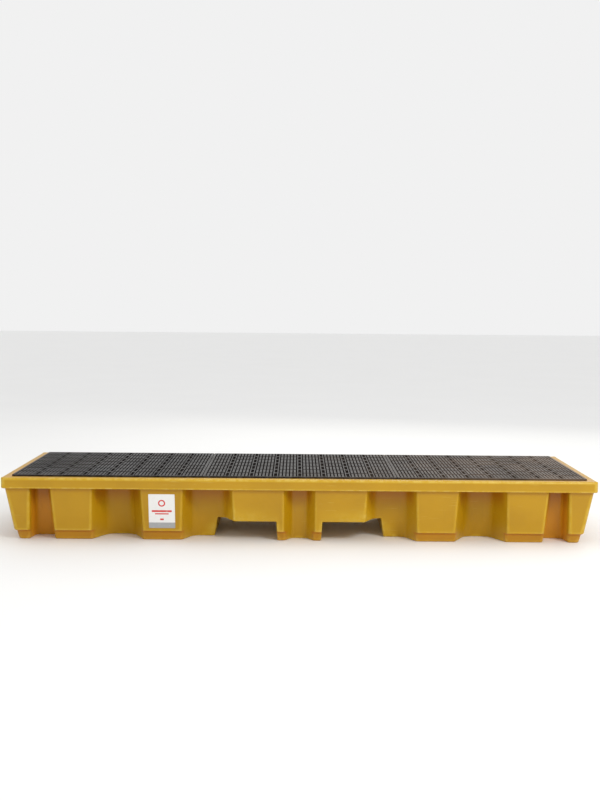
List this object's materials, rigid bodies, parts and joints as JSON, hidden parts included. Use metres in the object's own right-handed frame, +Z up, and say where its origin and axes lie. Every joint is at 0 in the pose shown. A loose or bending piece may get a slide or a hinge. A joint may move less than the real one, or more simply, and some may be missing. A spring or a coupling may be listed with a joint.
{
  "type": "spill containment pallet",
  "caption": "Low rectangular spill containment pallet for drums in a row: moulded sump with leaning fluted walls, fork pockets open to the ground and a lift-out slotted deck inside its rim.",
  "frame": {"origin": "centre of the object's footprint on the ground, under the middle of the rim", "axes": "+X along the length, to the right seen from the labelled front; +Y from the labelled front to the back; +Z up"},
  "size_m": [2.49, 0.75, 0.277],
  "materials": {
    "sump": "satin moulded polyethylene",
    "deck": "satin, slightly worn",
    "column": "extruded pipe, satin",
    "label": "coated"
  },
  "bodies": {
    "sump": {"sump": "sump", "column_1": "column", "column_2": "column", "column_3": "column", "column_4": "column", "column_5": "column", "label": "label"},
    "grate_left": {"grate_left": "deck"},
    "grate_middle": {"grate_middle": "deck"},
    "grate_right": {"grate_right": "deck"}
  },
  "joints": [
    {"name": "grate_left_lift", "type": "slide", "parent": "sump", "child": "grate_left", "axis": [0, 0, 1], "range_m": [0, 0.15]},
    {"name": "grate_middle_lift", "type": "slide", "parent": "sump", "child": "grate_middle", "axis": [0, 0, 1], "range_m": [0, 0.15]},
    {"name": "grate_right_lift", "type": "slide", "parent": "sump", "child": "grate_right", "axis": [0, 0, 1], "range_m": [0, 0.15]}
  ]
}
